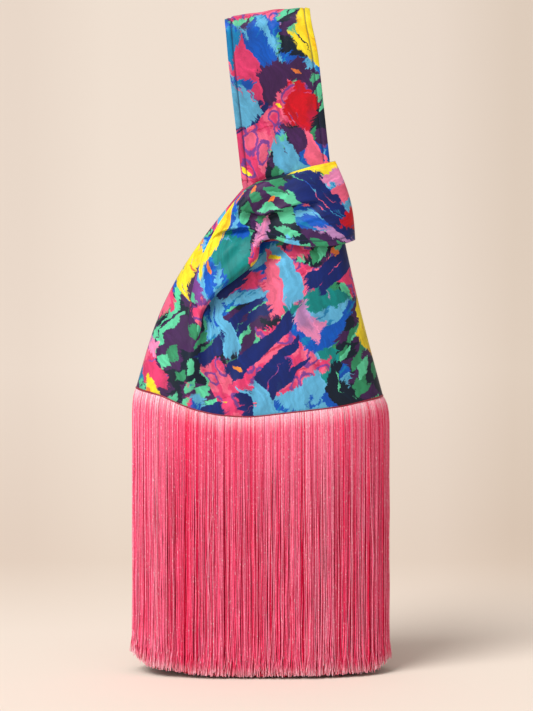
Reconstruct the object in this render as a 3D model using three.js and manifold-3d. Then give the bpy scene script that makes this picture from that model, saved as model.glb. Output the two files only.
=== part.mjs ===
// A knot bag: two cloth panels with a long and a short arm each, the long arms joined into a hand loop
// that passes through the short loop, and a thread fringe sewn round the hem of the base.
// Millimetres, +Z up, X across the bag, the front faces -Y.
// The model is laid out in heights above the fringe's tips, and then moved so that its origin is the
// underside of the hand loop's top, where the bag hangs.
import * as THREE from 'three';
import { mergeVertices } from 'three/addons/utils/BufferGeometryUtils.js';
import Module from 'manifold-3d';

const wasm = await Module();
wasm.setup();

// Cloth and clearances
const OUTER_CLOTH = 1.2;
const LINING_CLOTH = 0.6;
const BASE_CLOTH = 1.6;
const LAYER_GAP = 0.3;
const SEAM_HALF_GAP = 0.15;
const KNOT_CLEARANCE = 0.8;
const BASE_CLEARANCE = 0.8;

// Base and hem
const HEM_WIDTH = 234.6;
const HEM_HALF_DEPTH = 42;
const HEM_HEIGHT = 249.5;
const HEM_SAG = 19.4;
const HEM_TILT = 7.6;
const HEM_OFFSET_X = -2.4;
const HEM_SQUARENESS = 2.8;
const STRAP_SQUARENESS = 6;
const SECTION_ROUNDING = 0.57;
const HEADER_TAPE_HEIGHT = 8;
const HEADER_TAPE_CLOTH = 1.2;

// Hand loop, a flat strap that leans to the left going up
const LOOP_TOP_X = 5.7;
const LOOP_TOP_HEIGHT = 631;
const LOOP_LEAN = THREE.MathUtils.degToRad(6.3);
const STRAP_WIDTH = 84;
const LOOP_HALF_GAP = 13;
const LOOP_FOLD_DROP = 119.7;

// Body, from the hem up to where its sides run into the strap
const LEFT_SIDE_DROP = 165;
const RIGHT_SIDE_DROP = 150;
const LEFT_SIDE_BOW = 17;
const RIGHT_SIDE_BOW = -3;

// Short loop, wound round the strap, with the slack cloth of its root as a cowl on the body
const COWL_LIFT = 15;
const KNOT_ROLL = 8;
const KNOT_CREASE = 3;
const KNOT_END_BOW = 5;
const KNOT_FOLD_START = 0.72;

// Fringe
const FRINGE_LENGTH = 249.5;
const FRINGE_PITCH = 3.15;
const STRAND_RADIUS = 1.0;
const STRAND_SWELL = 3;
const STRAND_SWELL_DROP = 32;
const STRAND_UNEVEN = 4;
const TIP_LEVELLING_LEFT = 0.7;
const TIP_LEVELLING_RIGHT = 0.92;
const TIP_LEVELLING_ENDS = 0.45;
const TIP_END_SHARE = 0.06;
const HEADER_SLICE_DEPTH = 5;
const HEADER_SLICE_HEIGHT = 3.6;
const FRINGE_END_REACH = 38;
const CURTAIN_HALF_GAP = 0.7;
const FRINGE_END_MARGIN = 6;
const FRINGE_INWARD_SWING = THREE.MathUtils.degToRad(6);

const LINING_INNER = OUTER_CLOTH + LAYER_GAP + LINING_CLOTH;
const LINING_OUTER = OUTER_CLOTH + LAYER_GAP;
const PINCH_HALF_DEPTH = LINING_INNER + SEAM_HALF_GAP;
const FOLD_RADIUS = PINCH_HALF_DEPTH + SEAM_HALF_GAP;
const STRAP_ROOT_DROP = LOOP_FOLD_DROP + FOLD_RADIUS + LAYER_GAP;
const LOOP_BEARING_DROP = LINING_INNER;
const BASE_HEIGHT = HEADER_TAPE_HEIGHT + BASE_CLEARANCE;
const FRONT = -1;
const BACK = 1;

const BODY_COLUMNS = 16;
const BODY_ROWS = 10;
const ROOT_ROWS = 3;
const STRAP_STEPS = 26;
const KNOT_STEPS = 22;
const KNOT_COLUMNS = 7;
const SLICE_STEPS = 14;

const mix = THREE.MathUtils.lerp;
const smooth = THREE.MathUtils.smoothstep;
const clamp = THREE.MathUtils.clamp;

// Geometry helpers

function volumeOf(positions, faces) {
  let sum = 0;
  const a = new THREE.Vector3();
  const b = new THREE.Vector3();
  const c = new THREE.Vector3();
  for (let i = 0; i < faces.length; i += 3) {
    a.fromArray(positions, faces[i] * 3);
    b.fromArray(positions, faces[i + 1] * 3);
    c.fromArray(positions, faces[i + 2] * 3);
    sum += a.dot(b.cross(c)) / 6;
  }
  return sum;
}

function geometryOf(points, faces) {
  const positions = points.flatMap((p) => [p.x, p.y, p.z]);
  const outward = volumeOf(positions, faces) > 0;
  const index = outward ? faces : faces.slice().reverse();
  const geometry = new THREE.BufferGeometry();
  geometry.setAttribute('position', new THREE.Float32BufferAttribute(positions, 3));
  geometry.setIndex(index);
  return geometry;
}

// A closed sheet between two grids of points, face(i, j) and lining(i, j), with walls along its edges.
function sheetBetween(face, lining, columns, rows) {
  const points = [];
  const faces = [];
  const across = columns + 1;
  const side = across * (rows + 1);
  for (const grid of [face, lining]) {
    for (let j = 0; j <= rows; j++) {
      for (let i = 0; i <= columns; i++) {
        points.push(grid(i, j));
      }
    }
  }
  const quad = (a, b, c, d) => faces.push(a, b, c, a, c, d);
  for (let j = 0; j < rows; j++) {
    for (let i = 0; i < columns; i++) {
      const a = j * across + i;
      quad(a, a + 1, a + across + 1, a + across);
      quad(side + a, side + a + across, side + a + across + 1, side + a + 1);
    }
  }
  for (let i = 0; i < columns; i++) {
    const top = rows * across + i;
    quad(i, side + i, side + i + 1, i + 1);
    quad(top, top + 1, side + top + 1, side + top);
  }
  for (let j = 0; j < rows; j++) {
    const left = j * across;
    const right = left + columns;
    quad(left, left + across, side + left + across, side + left);
    quad(right, side + right, side + right + across, right + across);
  }
  return geometryOf(points, faces);
}

// A closed ring: a section of four corners, corner(i, k), carried round a loop of steps.
function ringOf(corner, steps) {
  const points = [];
  const faces = [];
  for (let i = 0; i < steps; i++) {
    for (let k = 0; k < 4; k++) {
      points.push(corner(i, k));
    }
  }
  for (let i = 0; i < steps; i++) {
    const next = (i + 1) % steps;
    for (let k = 0; k < 4; k++) {
      const turn = (k + 1) % 4;
      faces.push(i * 4 + k, next * 4 + k, next * 4 + turn);
      faces.push(i * 4 + k, next * 4 + turn, i * 4 + turn);
    }
  }
  return geometryOf(points, faces);
}

function solidOf(geometry) {
  const bare = mergeVertices(geometry, 1e-4);
  return new wasm.Manifold(new wasm.Mesh({
    numProp: 3,
    vertProperties: new Float32Array(bare.attributes.position.array),
    triVerts: new Uint32Array(bare.index.array),
  }));
}

function geometryFrom(solid) {
  const mesh = solid.getMesh();
  const geometry = new THREE.BufferGeometry();
  geometry.setAttribute('position', new THREE.BufferAttribute(mesh.vertProperties, 3));
  geometry.setIndex(new THREE.BufferAttribute(mesh.triVerts, 1));
  return geometry;
}

// Strap: a point at a drop below the hand loop's top, measured along the strap, and across it

function strapPoint(drop, across, y) {
  return new THREE.Vector3(
    LOOP_TOP_X + drop * Math.sin(LOOP_LEAN) + across * Math.cos(LOOP_LEAN),
    y,
    LOOP_TOP_HEIGHT - drop * Math.cos(LOOP_LEAN) + across * Math.sin(LOOP_LEAN),
  );
}

// Body: v runs from 0 at the hem to 1 at the neck and on to 2 at the top of the strap's root,
// and t from 0 at the left side seam to 1 at the right one.

function sideEdges(v) {
  const half = STRAP_WIDTH / 2;
  if (v > 1) {
    return {
      left: strapPoint(mix(LEFT_SIDE_DROP, STRAP_ROOT_DROP, v - 1), -half, 0),
      right: strapPoint(mix(RIGHT_SIDE_DROP, STRAP_ROOT_DROP, v - 1), half, 0),
    };
  }
  const hemLine = HEM_HEIGHT + HEM_SAG;
  const left = new THREE.Vector3(HEM_OFFSET_X - HEM_WIDTH / 2, 0, hemLine + HEM_TILT / 2);
  const right = new THREE.Vector3(HEM_OFFSET_X + HEM_WIDTH / 2, 0, hemLine - HEM_TILT / 2);
  left.lerp(strapPoint(LEFT_SIDE_DROP, -half, 0), v);
  right.lerp(strapPoint(RIGHT_SIDE_DROP, half, 0), v);
  left.x -= LEFT_SIDE_BOW * Math.sin(Math.PI * v ** 1.05);
  right.x += RIGHT_SIDE_BOW * Math.sin(Math.PI * v);
  return { left, right };
}

function halfDepth(v) {
  const swell = v < 1 ? Math.cos((Math.PI / 2) * v ** 0.85) : 0;
  return mix(PINCH_HALF_DEPTH, HEM_HALF_DEPTH, swell);
}

// The section is a lens at the hem and flattens towards the strap.
function fullness(t, v) {
  const from = Math.abs(2 * clamp(t, 0, 1) - 1);
  const squareness = HEM_SQUARENESS + STRAP_SQUARENESS * Math.min(v, 1) ** 3;
  return (1 - from ** squareness) ** SECTION_ROUNDING;
}

function bodyPoint(t, v, inset, side) {
  const { left, right } = sideEdges(v);
  const sag = HEM_SAG * Math.max(0, 1 - v) ** 2;
  const width = right.x - left.x;
  return new THREE.Vector3(
    left.x + inset + (width - 2 * inset) * t,
    side * (SEAM_HALF_GAP + (halfDepth(v) - inset) * fullness(t, v)),
    mix(left.z, right.z, t) - sag * 4 * t * (1 - t),
  );
}

const columnShare = (i) => (1 - Math.cos((Math.PI * i) / BODY_COLUMNS)) / 2;

function rowShare(j) {
  return j <= BODY_ROWS ? j / BODY_ROWS : 1 + (j - BODY_ROWS) / ROOT_ROWS;
}

// The share of the body's height that lies a given height above the hem, at the left side seam
function shareAbove(height) {
  return height / (sideEdges(1).left.z - sideEdges(0).left.z);
}

function bodyPanel(side, outerInset, innerInset, raised) {
  const grid = (inset) => (i, j) => (
    bodyPoint(columnShare(i), Math.max(rowShare(j), shareAbove(raised)), inset, side)
  );
  return sheetBetween(grid(outerInset), grid(innerInset), BODY_COLUMNS, BODY_ROWS + ROOT_ROWS);
}

// An oval panel across the body, raised above the hem, inside everything up to inset
function ovalPanel(inset, raised, thickness) {
  const rows = 2;
  const grid = (height) => (i, j) => {
    const front = bodyPoint(columnShare(i), shareAbove(height), inset, FRONT);
    front.y = mix(front.y, -front.y, j / rows);
    return front;
  };
  return sheetBetween(grid(raised), grid(raised + thickness), BODY_COLUMNS, rows);
}

// The woven header of the fringe, one ring sewn inside the hem under the base panel
function headerTape() {
  const inner = LINING_OUTER + HEADER_TAPE_CLOTH;
  const corners = [
    [LINING_OUTER, 0],
    [inner, 0],
    [inner, HEADER_TAPE_HEIGHT],
    [LINING_OUTER, HEADER_TAPE_HEIGHT],
  ];
  const half = BODY_COLUMNS + 1;
  return ringOf((i, k) => {
    const side = i < half ? FRONT : BACK;
    const t = columnShare(i < half ? i : 2 * half - 1 - i);
    const [inset, height] = corners[k];
    return bodyPoint(t, shareAbove(height), inset, side);
  }, 2 * half);
}

// Hand loop: one limb's middle line in the plane of drop and y, from the top to the fold above the knot,
// offset outwards by the layers. The lining is the side that the hand meets.

function limbLine(share, offset, endDrop) {
  const bend = 0.22;
  if (share < bend) {
    const angle = mix(SEAM_HALF_GAP / LOOP_HALF_GAP, Math.PI / 2, share / bend);
    const radius = LOOP_HALF_GAP + offset;
    return { drop: LINING_INNER + LOOP_HALF_GAP - radius * Math.cos(angle), y: radius * Math.sin(angle) };
  }
  const start = LINING_INNER + LOOP_HALF_GAP;
  const along = (share - bend) / (1 - bend);
  const drop = mix(start, endDrop, along);
  const closing = smooth(clamp((drop - start) / (LOOP_FOLD_DROP - start), 0, 1) ** 1.8, 0, 1);
  return { drop, y: mix(LOOP_HALF_GAP, SEAM_HALF_GAP, closing) + offset };
}

function handleLimb(side, outerOffset, innerOffset, endDrop) {
  const grid = (offset) => (i, j) => {
    const { drop, y } = limbLine(j / STRAP_STEPS, offset, endDrop);
    return strapPoint(drop, (i - 0.5) * STRAP_WIDTH, side * y);
  };
  return sheetBetween(grid(outerOffset), grid(innerOffset), 1, STRAP_STEPS);
}

// Short loop: a band that starts as a narrow tail on the body's left, swells into the cowl and then
// winds across the strap. Each station gives the body share t and height v of its two edges, and how far
// the lower edge stands off the body, as a share of the cowl's lift.
const KNOT_STATIONS = [
  { upper: [0.18, 0.26], lower: [0.2, 0.255], lift: 0 },
  { upper: [0.15, 0.35], lower: [0.21, 0.33], lift: 0.25 },
  { upper: [0.125, 0.46], lower: [0.205, 0.42], lift: 0.55 },
  { upper: [0.085, 0.62], lower: [0.254, 0.51], lift: 0.85 },
  { upper: [0.05, 0.77], lower: [0.338, 0.573], lift: 1 },
  { upper: [0.025, 0.9], lower: [0.42, 0.645], lift: 0.9 },
  { upper: [0.03, 0.97], lower: [0.46, 0.705], lift: 0.5 },
  { upper: [0.13, 1.04], lower: [0.53, 0.71], lift: 0.25 },
  { upper: [0.3, 1.08], lower: [0.627, 0.697], lift: 0.12 },
  { upper: [0.55, 1.06], lower: [0.768, 0.673], lift: 0.12 },
  { upper: [0.8, 1.06], lower: [0.95, 0.661], lift: 0.12 },
  { upper: [1.067, 1.0], lower: [1.07, 0.668], lift: 0.12 },
];

const stationCurve = (read) => new THREE.CatmullRomCurve3(
  KNOT_STATIONS.map(read),
  false,
  'centripetal',
);
const upperEdge = stationCurve((s) => new THREE.Vector3(s.upper[0], s.upper[1], 0));
const lowerEdge = stationCurve((s) => new THREE.Vector3(s.lower[0], s.lower[1], s.lift));

function knotPoint(along, up, inset, side) {
  const upper = upperEdge.getPoint(along);
  const lower = lowerEdge.getPoint(along);
  const t = mix(lower.x, upper.x, up);
  const v = mix(lower.y, upper.y, up);
  const point = bodyPoint(t, v, 0, side);
  const under = Math.abs(bodyPoint(Math.min(t, 0.8), v, 0, side).y);
  const grown = smooth(along, 0.08, 0.5);
  const roll = KNOT_ROLL * grown * Math.sin(Math.PI * up);
  const crease = KNOT_CREASE * grown * Math.exp(-(((up - 0.42) / 0.12) ** 2));
  const cowl = COWL_LIFT * Math.max(lower.z, 0) * (1 - up) ** 1.5;
  const proud = under + KNOT_CLEARANCE + LINING_INNER + roll - crease + cowl;
  const end = clamp((along - KNOT_FOLD_START) / (1 - KNOT_FOLD_START), 0, 1);
  const turn = Math.sqrt(1 - end ** 3);
  point.x += KNOT_END_BOW * end * Math.sin(Math.PI * up) - inset * end;
  point.y = side * (SEAM_HALF_GAP + (proud - inset) * turn);
  return point;
}

function knotSheet(side, outerInset, innerInset) {
  const grid = (inset) => (i, j) => {
    const straight = j / KNOT_STEPS;
    const along = straight < 0.5 ? straight : mix(straight, 1 - (2 * (1 - straight)) ** 1.4 / 2, 0.6);
    return knotPoint(along, i / KNOT_COLUMNS, inset, side);
  };
  return sheetBetween(grid(outerInset), grid(innerInset), KNOT_COLUMNS, KNOT_STEPS);
}

// Fringe: four curtains round the hem. Each is a slice of header with its strands fused to it, and hangs
// from its own line at the hem.

const END_SHARE = FRINGE_END_REACH / HEM_WIDTH;
const CURTAIN_GAP_SHARE = CURTAIN_HALF_GAP / HEM_WIDTH;

// A curtain's path as a list of (t, side), running round the hem
function curtainPath(name, steps) {
  const spread = (from, to) => Array.from({ length: steps + 1 }, (_, i) => mix(from, to, i / steps));
  const inner = END_SHARE + CURTAIN_GAP_SHARE;
  const outer = END_SHARE - CURTAIN_GAP_SHARE;
  if (name === 'front' || name === 'back') {
    return spread(inner, 1 - inner).map((t) => ({ t, side: name === 'front' ? FRONT : BACK }));
  }
  const round = spread(-1, 1).map((s) => ({ t: s * s * outer, side: s < 0 ? FRONT : BACK }));
  return name === 'left' ? round : round.map(({ t, side }) => ({ t: 1 - t, side }));
}

// How far a point of the hem must stay below the hem line so that an inward swing doesn't reach it
function swingRoom(name, point) {
  if (name === 'front' || name === 'back') {
    return Math.max(0, HEM_HALF_DEPTH - Math.abs(point.y)) * Math.sin(FRINGE_INWARD_SWING);
  }
  return 0;
}

function hemPoint(name, t, side, inset, drop) {
  const point = bodyPoint(t, 0, inset, side);
  point.z -= LAYER_GAP + swingRoom(name, point) + drop;
  return point;
}

function headerSlice(name) {
  const path = curtainPath(name, SLICE_STEPS);
  const grid = (inset) => (i, j) => {
    const { t, side } = path[i];
    return hemPoint(name, t, side, inset, j * HEADER_SLICE_HEIGHT);
  };
  return sheetBetween(grid(LAYER_GAP), grid(LAYER_GAP + HEADER_SLICE_DEPTH), path.length - 1, 1);
}

// Places for the strands at an even pitch along one row of a curtain
function strandRow(name, inset, shift) {
  const places = curtainPath(name, SLICE_STEPS * 4).map(({ t, side }) => (
    hemPoint(name, t, side, inset, HEADER_SLICE_HEIGHT)
  ));
  const curve = new THREE.CatmullRomCurve3(places, false, 'centripetal');
  curve.arcLengthDivisions = 400;
  const margin = FRINGE_END_MARGIN / 2 + shift * FRINGE_PITCH;
  const count = Math.floor((curve.getLength() - 2 * margin) / FRINGE_PITCH);
  return Array.from({ length: count + 1 }, (_, i) => {
    const u = (margin + i * FRINGE_PITCH) / curve.getLength();
    return { at: curve.getPointAt(u), along: curve.getTangentAt(u) };
  });
}

// A repeatable spread between -1 and 1, so that the tips are uneven
const uneven = (i) => 2 * ((Math.sin(i * 12.9898) * 43758.5453) % 1);

// How far below its slice a strand hangs. The tips are trimmed nearly level, so that a strand from a higher
// place of the hem is longer, but less so at the two ends.
function strandDrop(at, n) {
  const rise = Math.max(0, at.z + HEADER_SLICE_HEIGHT + LAYER_GAP - HEM_HEIGHT);
  const share = clamp((at.x - HEM_OFFSET_X) / HEM_WIDTH + 0.5, 0, 1);
  const endLevel = mix(TIP_LEVELLING_ENDS, 1, smooth(Math.min(share, 1 - share), 0, TIP_END_SHARE));
  const levelled = rise * mix(TIP_LEVELLING_LEFT, TIP_LEVELLING_RIGHT, share) * endLevel;
  return FRINGE_LENGTH - HEADER_SLICE_HEIGHT - LAYER_GAP + levelled - STRAND_UNEVEN * Math.abs(uneven(n + 1)) / 2;
}

function strands(name) {
  const points = [];
  const faces = [];
  const rows = [0.3, 0.72].map((share, r) => (
    strandRow(name, LAYER_GAP + share * HEADER_SLICE_DEPTH, r / 2)
  ));
  const middle = new THREE.Vector3(HEM_OFFSET_X, 0, 0);
  rows.flat().forEach(({ at, along }, n) => {
    const out = new THREE.Vector3(along.y, -along.x, 0).normalize();
    if (out.dot(new THREE.Vector3().subVectors(at, middle)) < 0) {
      out.negate();
    }
    const tip = strandDrop(at, n);
    const stops = [
      { drop: -HEADER_SLICE_HEIGHT / 2, out: 0, size: 1 },
      { drop: STRAND_SWELL_DROP, out: STRAND_SWELL, size: 1 },
      { drop: tip, out: STRAND_SWELL, size: 0.8 },
    ];
    const first = points.length;
    stops.forEach((stop) => {
      for (let k = 0; k < 3; k++) {
        const angle = (k / 3) * 2 * Math.PI + n;
        points.push(new THREE.Vector3(
          at.x + out.x * stop.out + STRAND_RADIUS * stop.size * Math.cos(angle),
          at.y + out.y * stop.out + STRAND_RADIUS * stop.size * Math.sin(angle),
          at.z - stop.drop,
        ));
      }
    });
    for (let s = 0; s + 1 < stops.length; s++) {
      for (let k = 0; k < 3; k++) {
        const a = first + s * 3 + k;
        const b = first + s * 3 + ((k + 1) % 3);
        faces.push(a, a + 3, b + 3, a, b + 3, b);
      }
    }
    const last = first + (stops.length - 1) * 3;
    faces.push(first, first + 1, first + 2);
    faces.push(last + 2, last + 1, last);
  });
  return geometryOf(points, faces);
}

function curtain(name) {
  return geometryFrom(solidOf(headerSlice(name)).add(solidOf(strands(name))));
}

// Materials
const cloth = (color) => new THREE.MeshStandardMaterial({ color, roughness: 0.62, metalness: 0 });
const lining = () => new THREE.MeshStandardMaterial({ color: '#c01c50', roughness: 0.7, metalness: 0 });
const tape = () => new THREE.MeshStandardMaterial({ color: '#d9487f', roughness: 0.75, metalness: 0 });
const thread = () => new THREE.MeshStandardMaterial({ color: '#e8628a', roughness: 0.45, metalness: 0 });

const bag = new THREE.Group();

function addPiece(name, geometry, material) {
  geometry.computeVertexNormals();
  const mesh = new THREE.Mesh(geometry, material);
  mesh.name = name;
  bag.add(mesh);
}

const sides = [['front', FRONT], ['back', BACK]];
for (const [name, side] of sides) {
  addPiece(`${name}_panel`, bodyPanel(side, 0, OUTER_CLOTH, 0), cloth('#2f7fc4'));
  addPiece(
    `${name}_lining`,
    bodyPanel(side, LINING_OUTER, LINING_INNER, BASE_HEIGHT + BASE_CLOTH + LAYER_GAP),
    lining(),
  );
  addPiece(
    `hand_loop_${name}`,
    handleLimb(side, LINING_INNER, LINING_CLOTH + LAYER_GAP, LOOP_FOLD_DROP),
    cloth('#3b6fc9'),
  );
  addPiece(
    `hand_loop_${name}_lining`,
    handleLimb(side, LINING_CLOTH, 0, LOOP_FOLD_DROP + FOLD_RADIUS - LAYER_GAP),
    lining(),
  );
  addPiece(`short_loop_${name}`, knotSheet(side, 0, OUTER_CLOTH), cloth('#7d4b9c'));
  addPiece(`short_loop_${name}_lining`, knotSheet(side, LINING_OUTER, LINING_INNER), lining());
}
addPiece('base_panel', ovalPanel(LINING_OUTER, BASE_HEIGHT, BASE_CLOTH), cloth('#2c4f8f'));
addPiece(
  'base_lining',
  ovalPanel(LINING_INNER + LAYER_GAP, BASE_HEIGHT + BASE_CLOTH + LAYER_GAP, LINING_CLOTH),
  lining(),
);
addPiece('fringe_header_tape', headerTape(), tape());
for (const name of ['front', 'back', 'left', 'right']) {
  addPiece(`fringe_${name}`, curtain(name), thread());
}

const bearing = strapPoint(LOOP_BEARING_DROP, 0, 0);
bag.position.set(-bearing.x, 0, -bearing.z);

export default bag;
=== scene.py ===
import math

import bpy
import numpy as np
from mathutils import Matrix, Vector


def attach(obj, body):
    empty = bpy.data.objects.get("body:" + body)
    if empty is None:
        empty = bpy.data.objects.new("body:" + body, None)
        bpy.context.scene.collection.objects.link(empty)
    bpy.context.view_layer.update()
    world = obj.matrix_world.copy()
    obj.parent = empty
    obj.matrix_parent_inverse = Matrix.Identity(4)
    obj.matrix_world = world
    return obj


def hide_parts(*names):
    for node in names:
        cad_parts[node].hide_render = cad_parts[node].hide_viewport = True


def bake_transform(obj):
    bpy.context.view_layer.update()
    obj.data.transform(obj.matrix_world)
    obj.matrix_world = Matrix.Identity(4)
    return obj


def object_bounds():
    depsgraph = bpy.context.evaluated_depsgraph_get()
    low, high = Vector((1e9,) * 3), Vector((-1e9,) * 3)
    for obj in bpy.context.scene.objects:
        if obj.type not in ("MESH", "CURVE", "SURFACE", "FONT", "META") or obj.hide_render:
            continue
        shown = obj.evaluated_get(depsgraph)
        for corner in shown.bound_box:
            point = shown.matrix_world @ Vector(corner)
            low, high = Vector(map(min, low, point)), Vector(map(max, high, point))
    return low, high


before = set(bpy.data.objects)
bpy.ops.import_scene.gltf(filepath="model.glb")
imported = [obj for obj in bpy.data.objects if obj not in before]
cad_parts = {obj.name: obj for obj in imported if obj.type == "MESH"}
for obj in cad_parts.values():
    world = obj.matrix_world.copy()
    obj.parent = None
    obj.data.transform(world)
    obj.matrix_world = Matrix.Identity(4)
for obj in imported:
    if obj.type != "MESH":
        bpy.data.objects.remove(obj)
cad_low, cad_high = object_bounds()

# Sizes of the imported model, in millimetres. Heights are above the fringe's tips; the row frame's origin is
# the underside of the hand loop's top.
ORIGIN_X, ORIGIN_Z = 5.930, 628.913
HEM_WIDTH, HEM_HALF_DEPTH, HEM_HEIGHT = 234.6, 42.0, 249.5
HEM_SAG, HEM_TILT, HEM_OFFSET_X = 19.4, 7.6, -2.4
HEM_CORNERS = HEM_HEIGHT + HEM_SAG
HEM_SQUARENESS, STRAP_SQUARENESS, SECTION_ROUNDING = 2.8, 6.0, 0.57
LOOP_TOP_X, LOOP_TOP_HEIGHT, LOOP_LEAN = 5.7, 631.0, math.radians(6.3)
STRAP_WIDTH, LOOP_HALF_GAP, LOOP_FOLD_DROP, STRAP_ROOT_DROP = 84.0, 13.0, 119.7, 122.4
STRAP_HALF_WIDTH = STRAP_WIDTH / 2
LEFT_SIDE_DROP, RIGHT_SIDE_DROP, LEFT_SIDE_BOW, RIGHT_SIDE_BOW = 165.0, 150.0, 17.0, -3.0
LINING_OUTER, LINING_INNER, SEAM_HALF_GAP = 1.5, 2.1, 0.15
PINCH_HALF_DEPTH, BEND_START = LINING_INNER + SEAM_HALF_GAP, LINING_INNER + LOOP_HALF_GAP
BASE_HEIGHT, BASE_CLOTH, TAPE_HEIGHT, TAPE_CLOTH = 8.8, 1.6, 8.0, 1.2
FRINGE_LENGTH, FRINGE_END_REACH, CURTAIN_HALF_GAP = 249.5, 38.0, 0.7
FRONT, BACK = -1, 1

# Edges of the short loop from its narrow tail on the body's left, round the cowl, to its turn on the
# strap's right: (t, v) of the upper edge and of the lower one
KNOT_UPPER = [
    (0.18, 0.26), (0.15, 0.35), (0.125, 0.46), (0.085, 0.62), (0.05, 0.77), (0.025, 0.9),
    (0.03, 0.97), (0.13, 1.04), (0.3, 1.08), (0.55, 1.06), (0.8, 1.06), (1.067, 1.0),
]
KNOT_LOWER = [
    (0.2, 0.255), (0.21, 0.33), (0.205, 0.42), (0.254, 0.51), (0.338, 0.573), (0.432, 0.646),
    (0.43, 0.716), (0.503, 0.728), (0.625, 0.697), (0.768, 0.673), (0.95, 0.661), (1.07, 0.668),
]
KNOT_FOLD_START, KNOT_END_BOW = 0.72, 5.0

# How far the hem hangs below the line between its corners: (share of the width, millimetres)
HEM_SHAPE = [
    (0, 0), (0.105, 3.3), (0.17, 9.7), (0.234, 14.6), (0.32, 18.4), (0.4, 19.4), (0.47, 19.3),
    (0.617, 14.2), (0.834, 7.5), (0.926, 2.9), (1, 0),
]

# How far the short loop stands off the body, in millimetres: a row for each place along it, and a column
# for each share of its width from the upper edge to the lower one
KNOT_ALONG = [0.0, 0.1, 0.2, 0.3, 0.4, 0.5, 0.58, 0.64, 0.74, 0.86, 1.0]
KNOT_ACROSS = [0.0, 0.03, 0.08, 0.15, 0.25, 0.35, 0.45, 0.55, 0.65, 0.75, 0.85, 0.93, 0.97, 1.0]
KNOT_STAND = [
    [-0.4, -0.3, -0.2, -0.1, 0.0, 0.0, 0.0, 0.0, 0.0, 0.0, 0.0, -0.1, -0.2, -0.4],
    [-0.2, 0.8, 1.6, 2.4, 3.0, 3.5, 4.0, 4.4, 4.8, 5.0, 5.0, 4.4, 3.6, 2.2],
    [0.4, 2.0, 3.4, 4.6, 5.5, 6.4, 7.3, 8.0, 8.8, 9.4, 9.5, 8.7, 7.4, 5.0],
    [0.8, 3.2, 4.9, 6.2, 7.2, 8.2, 9.6, 11.2, 12.8, 14.0, 14.6, 14.2, 12.6, 9.0],
    [1.0, 3.8, 5.8, 7.4, 8.4, 9.0, 10.0, 11.6, 13.8, 16.0, 17.6, 17.8, 16.0, 12.0],
    [1.2, 4.6, 7.6, 9.6, 10.6, 10.0, 8.6, 8.2, 10.4, 14.2, 17.6, 18.8, 17.6, 14.0],
    [1.2, 5.0, 8.6, 11.2, 12.6, 11.8, 8.2, 5.0, 7.0, 11.4, 15.0, 16.6, 16.2, 14.4],
    [1.2, 5.0, 8.6, 11.2, 12.4, 11.8, 8.8, 5.4, 6.6, 9.6, 12.0, 13.0, 12.8, 11.8],
    [1.0, 4.4, 7.4, 9.6, 10.6, 10.2, 8.4, 6.4, 6.8, 8.0, 8.8, 9.0, 8.8, 8.0],
    [1.0, 4.0, 6.4, 8.0, 8.8, 8.8, 8.0, 7.4, 7.2, 7.4, 7.6, 7.6, 7.4, 7.0],
    [1.0, 3.4, 5.2, 6.2, 6.8, 7.0, 7.0, 6.8, 6.8, 6.8, 6.8, 6.8, 6.6, 6.2],
]


def smooth(x, low=0.0, high=1.0):
    s = np.clip((np.asarray(x, float) - low) / (high - low), 0, 1)
    return s * s * (3 - 2 * s)


def mix(a, b, share):
    return a + (b - a) * share


def bell(x, middle, width):
    return np.exp(-(((x - middle) / width) ** 2))


def fade(share, ends):
    return smooth(share, 0, ends) * smooth(1 - share, 0, ends)


def eased(count):
    """Shares from 0 to 1, close together at both ends."""
    return (1 - np.cos(np.pi * np.linspace(0, 1, count))) / 2


def smoothed(table, passes):
    """The table with its inner values drawn towards their neighbours along its first axis."""
    for _ in range(passes):
        table[1:-1] = (table[:-2] + 2 * table[1:-1] + table[2:]) / 4
    return table


# Body and strap, as arrays of points

HEM_DROP = smoothed(np.interp(np.linspace(0, 1, 201), *np.array(HEM_SHAPE).T), 40)


def strap_point(drop, across, y):
    drop, across, y = np.broadcast_arrays(drop, across, y)
    x = LOOP_TOP_X + drop * math.sin(LOOP_LEAN) + across * math.cos(LOOP_LEAN)
    z = LOOP_TOP_HEIGHT - drop * math.cos(LOOP_LEAN) + across * math.sin(LOOP_LEAN)
    return np.stack([x, y, z], -1)


STRAP_UP = strap_point(0, 0, 0) - strap_point(1, 0, 0)


def side_edges(v):
    """The left and right side seam at the body height v, 0 at the hem, 1 at the neck and 2 at the strap."""
    v = np.asarray(v, float)
    low, root = np.clip(v, 0, 1), np.clip(v - 1, 0, 1)
    edges = []
    for sign, drop, bow, power in (
        (-1, LEFT_SIDE_DROP, -LEFT_SIDE_BOW, 1.05),
        (1, RIGHT_SIDE_DROP, RIGHT_SIDE_BOW, 1.0),
    ):
        start = np.array([HEM_OFFSET_X + sign * HEM_WIDTH / 2, 0, HEM_CORNERS - sign * HEM_TILT / 2])
        neck = strap_point(drop, sign * STRAP_HALF_WIDTH, 0)
        body = start + (neck - start) * low[..., None]
        body[..., 0] += bow * np.sin(math.pi * low**power)
        top = strap_point(mix(drop, STRAP_ROOT_DROP, root), sign * STRAP_HALF_WIDTH, 0)
        edges.append(np.where((v > 1)[..., None], top, body))
    return edges


def half_depth(v):
    v = np.asarray(v, float)
    swell = np.where(v < 1, np.cos(math.pi / 2 * np.clip(v, 0, 1) ** 0.85), 0)
    return mix(PINCH_HALF_DEPTH, HEM_HALF_DEPTH, swell)


def fullness(t, v):
    away = np.abs(2 * np.clip(t, 0, 1) - 1)
    return (1 - away ** (HEM_SQUARENESS + STRAP_SQUARENESS * np.clip(v, 0, 1) ** 3)) ** SECTION_ROUNDING


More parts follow.
